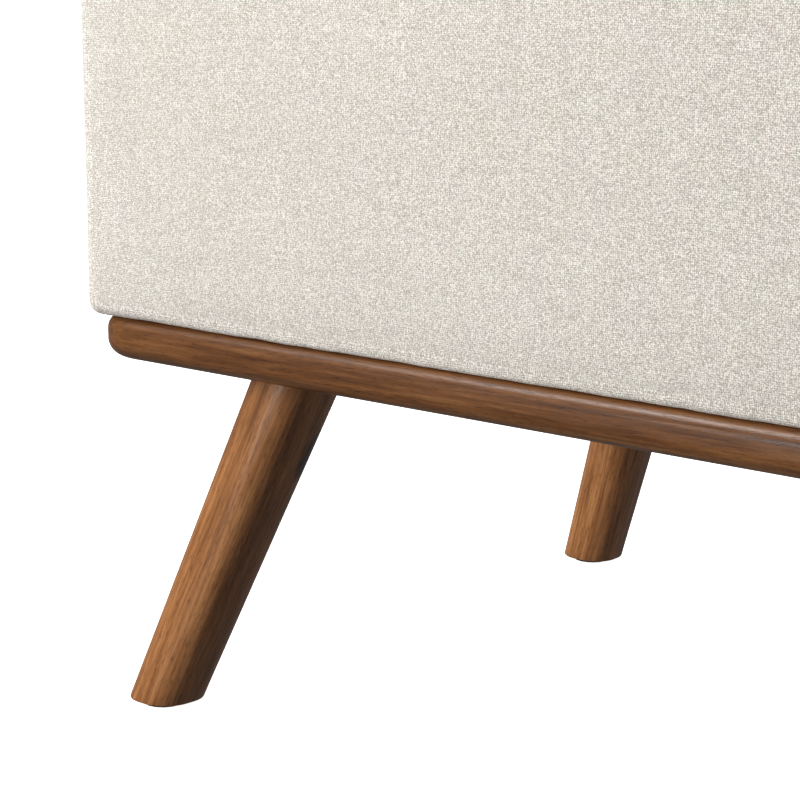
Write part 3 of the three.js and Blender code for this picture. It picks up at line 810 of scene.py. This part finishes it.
def press_seam(mesh, unit, half):
    """Draws in the seam between the top panel and the wall, with small puckers beside it."""
    points, normals = points_of(mesh), normals_of(mesh)
    from_edge = np.min((1 - np.abs(unit[:, :2])) * half[:2], axis=1)
    on_top = unit[:, 2] == 1
    seam = on_top & (from_edge == 0)
    points[seam] -= normals[seam] * SEAM_DEPTH
    for i in np.nonzero(on_top & ~seam)[0]:
        x, y, _ = points[i]
        beside = max(0, 1 - from_edge[i] / SEAM_REACH)
        points[i] += normals[i] * 0.4 * MM * beside * ripple(x * 55, y * 55, 3.0)
        points[i][2] += 0.5 * MM * ripple(x * 9, y * 9, 8.0)
    move_points(mesh, points)


def make_lid_cushion():
    """The lid's padded cover, swollen by its foam, with a sewn seam round its upper edge."""
    height = lid_high.z - lid_low.z - LID_TOP_SHRINK
    half = np.array([HALF_X - LID_SHRINK, HALF_Y - LID_SHRINK, height / 2])
    unit, faces = box_grid([round(2 * h / LID_CELL) for h in half])
    middle = np.array([*CENTRE, lid_low.z + height / 2])
    points = np.array([lid_point(u, half) for u in unit]) + middle
    piece = new_piece("lid_cushion", points, faces, "lid")
    store(piece.data, "cloth", lid_weave(unit, half, faces), "CORNER")
    inflate(piece, np.nonzero(unit[:, 2] < BOARD_SHARE)[0], LID_SWELL)
    press_seam(piece.data, unit, half)
    finish_piece(piece, "cream_fabric", "lid_cover", "lid_foam")
    add_modifier(piece, "SUBSURF", levels=1, render_levels=1)


# ---- Wooden base ----


def make_rails():
    """Four mitred rails, cut from one rounded frame."""
    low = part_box("front_rail")[0]
    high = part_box("rear_rail")[1]
    half_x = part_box("right_rail")[1].x
    half_y = (high.y - low.y) / 2
    middle = Vector((0, (low.y + high.y) / 2, 0))
    rows = [(RAIL_WIDTH, low.z, 1 * MM)]
    for inset, z in eased_wall(low.z, high.z, RAIL_LOWER_EASE, RAIL_UPPER_EASE, 10, 3 * MM):
        rows.append((inset, z, RAIL_CORNER - inset))
    rows.append((RAIL_WIDTH, high.z, 1 * MM))
    points = []
    for inset, z, radius in rows:
        ring = outline(half_x - inset, half_y - inset, radius, 14, 40, 28)
        points += [(x, y + middle.y, z) for x, y in ring]
    whole = bpy.data.meshes.new("rail_frame")
    whole.from_pydata(points, [], ring_faces(len(rows), len(points) // len(rows), closed=True))
    for turn, name in enumerate(("front_rail", "right_rail", "rear_rail", "left_rail")):
        along_x = turn % 2 == 0
        reach = (half_x, half_y) if along_x else (half_y, half_x)
        mesh = cut_rail(whole, turn, reach, middle, name)
        piece = add_piece(name + "_wood", mesh, "box", 50)
        grain = points_of(mesh)[:, (0, 1, 2) if along_x else (1, 0, 2)]
        store(mesh, "grain", grain + GRAIN_SHIFT * (turn + 1))
        store(mesh, "stain", [RAIL_STAIN] * len(grain))
        finish_piece(piece, "walnut_wood", name)
        add_modifier(piece, "BEVEL", width=EDGE_BEVEL, segments=2, limit_method="ANGLE")


def cut_rail(whole, turn, reach, middle, name):
    """One side of the frame, cut off at its two mitres."""
    made = bmesh.new()
    made.from_mesh(whole)
    away = direction(turn - 1).to_3d()
    across = direction(turn).to_3d()
    for sign in (-1, 1):
        corner = middle + across * sign * reach[0] + away * reach[1]
        normal = (across * sign - away).normalized()
        cut = bmesh.ops.bisect_plane(
            made,
            geom=made.verts[:] + made.edges[:] + made.faces[:],
            plane_co=corner - normal * MITRE_GAP / 2,
            plane_no=normal,
            clear_outer=True,
        )
        edges = [edge for edge in cut["geom_cut"] if isinstance(edge, bmesh.types.BMEdge)]
        bmesh.ops.contextual_create(made, geom=edges)
    return mesh_from(name + "_wood", made)


def middle_of(node):
    low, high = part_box(node)
    return (low + high) / 2


def make_leg(place, number):
    """A tapered leg of rounded square section, cut level at its top and foot."""
    leg_low, leg_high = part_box(f"leg_{place}")
    top = middle_of(f"leg_bolt_{place}")
    top.z = leg_high.z
    foot = middle_of(f"foot_glide_{place}")
    foot.z = 0
    length = (foot - top).length
    axis = (foot - top) / length
    across = (Vector((1, 0, 0)) - axis * axis.x).normalized()
    other = across.cross(axis)
    taper = (LEG_FOOT_WIDTH - LEG_TOP_WIDTH) / length
    levels = [(z, 0) for z in np.linspace(leg_high.z, leg_low.z + LEG_FOOT_EASE, 26)]
    for angle in quarter_turn(3)[1:]:
        inset = LEG_FOOT_EASE * (1 - math.cos(angle))
        levels.append((leg_low.z + LEG_FOOT_EASE * (1 - math.sin(angle)), inset))
    section = outline(0.5, 0.5, LEG_ROUNDING, 10, 6, 6)
    made = bmesh.new()
    grain, rings = [], []
    for z, inset in levels:
        ring = []
        for a, b in section:
            out = across * a + other * b
            start = top + out * LEG_TOP_WIDTH
            step = axis + out * taper
            distance = (z - start.z) / step.z
            width = LEG_TOP_WIDTH + taper * distance
            ring.append(made.verts.new(start + step * distance - out.normalized() * inset))
            grain.append((distance + number * 0.83, a * width + number * 0.21, b * width))
        rings.append(ring)
    join_rings(made, rings)
    made.faces.new(rings[-1])
    piece = add_piece(f"leg_{place}_wood", mesh_from(f"leg_{place}_wood", made), "box", 50)
    store(piece.data, "grain", grain)
    store(piece.data, "stain", [LEG_STAIN] * len(grain))
    finish_piece(piece, "walnut_wood", f"leg_{place}")


def join_rings(made, rings):
    """Closes the first ring of a bmesh and joins each ring to the next."""
    made.faces.new(rings[0])
    for before, after in zip(rings, rings[1:]):
        for i, start in enumerate(before):
            made.faces.new((before[i - 1], start, after[i], after[i - 1]))


# ---- Screws and CAD hardware ----


def add_screw(made, place, axis, head):
    """A screw's domed head with a cross recess, standing on a plate."""
    radius, height = head
    turn = Vector(axis).to_track_quat("Z", "Y").to_matrix()
    spokes = 24
    cross = []
    for quarter in range(4):
        ahead, beside = direction(quarter), direction(quarter + 1)
        for forward, sideways in ((5, -1), (5, 0), (5, 1), (3, 1), (1, 1), (1, 3)):
            cross.append((ahead * forward + beside * sideways) * radius * 0.11)
    rings = []
    for share, rise in ((1, 0), (1, 0.35), (0.93, 0.72), (0.8, 0.93), (0.7, 1)):
        circle = [direction((i - 1) / spokes * 4) * radius * share for i in range(spokes)]
        rings.append([(point, height * rise) for point in circle])
    rings.append([(point, height) for point in cross])
    rings.append([(point * 0.8, height * 0.3) for point in cross])
    vertices = []
    for ring in rings:
        spots = [Vector(place) + turn @ Vector((*point, level)) for point, level in ring]
        vertices.append([made.verts.new(spot) for spot in spots])
    join_rings(made, vertices)
    bottom = made.verts.new(Vector(place) + turn @ Vector((0, 0, height * 0.2)))
    floor = vertices[-1]
    for i, vertex in enumerate(floor):
        made.faces.new((floor[i - 1], vertex, bottom))


def add_leaf_screws(made, leaf, face_z, facing):
    low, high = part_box(leaf)
    middle = (low.x + high.x) / 2
    for step, back in ((-1, 6 * MM), (0, 11 * MM), (1, 6 * MM)):
        place = (middle + step * LEAF_SCREW_SPREAD, low.y + back, face_z)
        add_screw(made, place, (0, 0, facing), FLUSH_HEAD)


def make_screws():
    """The screws of the hinges, stays and brackets, joined into one piece for each body."""
    box_screws, lid_screws = bmesh.new(), bmesh.new()
    for side, sign in SIDES:
        box_face = cover_high.z + LEAF_GAP + LEAF_THICKNESS
        lid_face = lid_low.z - LEAF_GAP - LEAF_THICKNESS
        add_leaf_screws(box_screws, f"hinge_box_leaf_{side}", box_face, 1)
        add_leaf_screws(lid_screws, f"hinge_lid_leaf_{side}", lid_face, -1)
        low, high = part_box(f"stay_housing_{side}")
        face_x = sign * (max(abs(low.x), abs(high.x)) - PLATE_THICKNESS)
        for rise in (8 * MM, 20 * MM):
            place = (face_x, (low.y + high.y) / 2, low.z + rise)
            add_screw(box_screws, place, (-sign, 0, 0), PAN_HEAD)
        low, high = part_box(f"stay_bracket_{side}")
        flange_x = sign * (min(abs(low.x), abs(high.x)) + 8 * MM)
        for y in (low.y + 8 * MM, high.y - 8 * MM):
            add_screw(lid_screws, (flange_x, y, high.z - PLATE_THICKNESS), (0, 0, -1), PAN_HEAD)
    for made, body in ((box_screws, "box"), (lid_screws, "lid")):
        name = f"{body}_screws"
        piece = add_piece(name, mesh_from(name, made), body, 35)
        finish_piece(piece, "zinc_steel")


def dress_cad_nodes():
    """Small bevels, smooth rounds and a material on every CAD node that stays."""
    slots = {row["node"]: row["material_slot"] for row in frame["record"]["subparts"]}
    for name, node in frame["nodes"].items():
        node.data.materials.clear()
        node.data.materials.append(MATERIALS[slots[name]])
        if not node.hide_render:
            smooth(node.data, 35)
            add_modifier(node, "BEVEL", width=HARDWARE_BEVEL, segments=2, limit_method="ANGLE")


# ---- Floor, light and camera ----


def make_floor():
    """A pale floor that glows a little, so that the shadows on it stay light."""
    size = 40
    corners = [(-size, -size, 0), (size, -size, 0), (size, size, 0), (-size, size, 0)]
    mesh = bpy.data.meshes.new("floor")
    mesh.from_pydata(corners, [], [(0, 1, 2, 3)])
    floor = bpy.data.objects.new("floor", mesh)
    bpy.context.scene.collection.objects.link(floor)
    pale, white = (0.8, 0.8, 0.8), (1.0, 1.0, 1.0)
    material = Nodes("pale_floor").finish(
        colour=pale, roughness=0.9, specular=0.1, glow=1.0, glow_colour=white
    )
    floor.data.materials.append(material)
    floor.visible_diffuse = False
    floor.visible_glossy = False


def add_light(name, place, size, power):
    light = bpy.data.lights.new(name, "AREA")
    light.shape = "SQUARE"
    light.size = size
    light.energy = power
    lamp = bpy.data.objects.new(name, light)
    bpy.context.scene.collection.objects.link(lamp)
    lamp.location = place
    lamp.rotation_euler = (Vector((0, 0, 0.2)) - lamp.location).to_track_quat("-Z", "Y").to_euler()
    return lamp


def add_lights():
    """Soft studio lamps, in a dim world that looks white behind the object."""
    world = bpy.data.worlds.new("studio")
    bpy.context.scene.world = world
    world.use_nodes = True
    tree = world.node_tree
    background = tree.nodes["Background"]
    background.inputs[0].default_value = (1, 1, 1, 1)
    seen = tree.nodes.new("ShaderNodeLightPath").outputs["Is Camera Ray"]
    strength = tree.nodes.new("ShaderNodeMath")
    strength.operation = "MAXIMUM"
    strength.inputs[1].default_value = WORLD_LIGHT
    tree.links.new(seen, strength.inputs[0])
    tree.links.new(strength.outputs[0], background.inputs[1])
    key = add_light("key", (-2.0, -3.3, 1.25), 2.0, 167)
    key.visible_glossy = False
    gleam = add_light("gleam", (-0.45, -1.7, 0.3), 0.3, 7)
    gleam.visible_diffuse = False
    add_light("left", (-1.1, -1.15, 1.85), 0.6, 19)
    add_light("overhead", (0.0, 0.2, 2.5), 1.5, 18)
    add_light("back", (-1.4, 2.7, 1.5), 1.6, 34)
    add_light("right", (2.8, 0.8, 1.6), 1.6, 10)


def add_camera():
    yaw, pitch = math.radians(CAMERA_YAW), math.radians(CAMERA_PITCH)
    data = bpy.data.cameras.new("camera")
    data.lens = CAMERA_LENS
    data.sensor_width = 36
    camera = bpy.data.objects.new("camera", data)
    bpy.context.scene.collection.objects.link(camera)
    camera.location = Vector((cover_low.x, cover_low.y, 0)) + Vector(CAMERA_FROM_CORNER)
    ahead = Vector((-math.sin(yaw), math.cos(yaw), -math.tan(pitch)))
    camera.rotation_euler = ahead.to_track_quat("-Z", "Y").to_euler()
    bpy.context.scene.camera = camera


make_box_cover()
make_storage_lining()
make_flat_cloth("dust_cloth", "dust_cover", "box", "black_cloth")
make_lid_cushion()
make_flat_cloth("lid_lining_cloth", "lid_lining", "lid", "grey_lining")
make_rails()
for number, place in enumerate(CORNERS):
    make_leg(place, number)
make_screws()
dress_cad_nodes()
make_floor()
add_lights()
add_camera()
bpy.context.scene.view_settings.view_transform = "Standard"
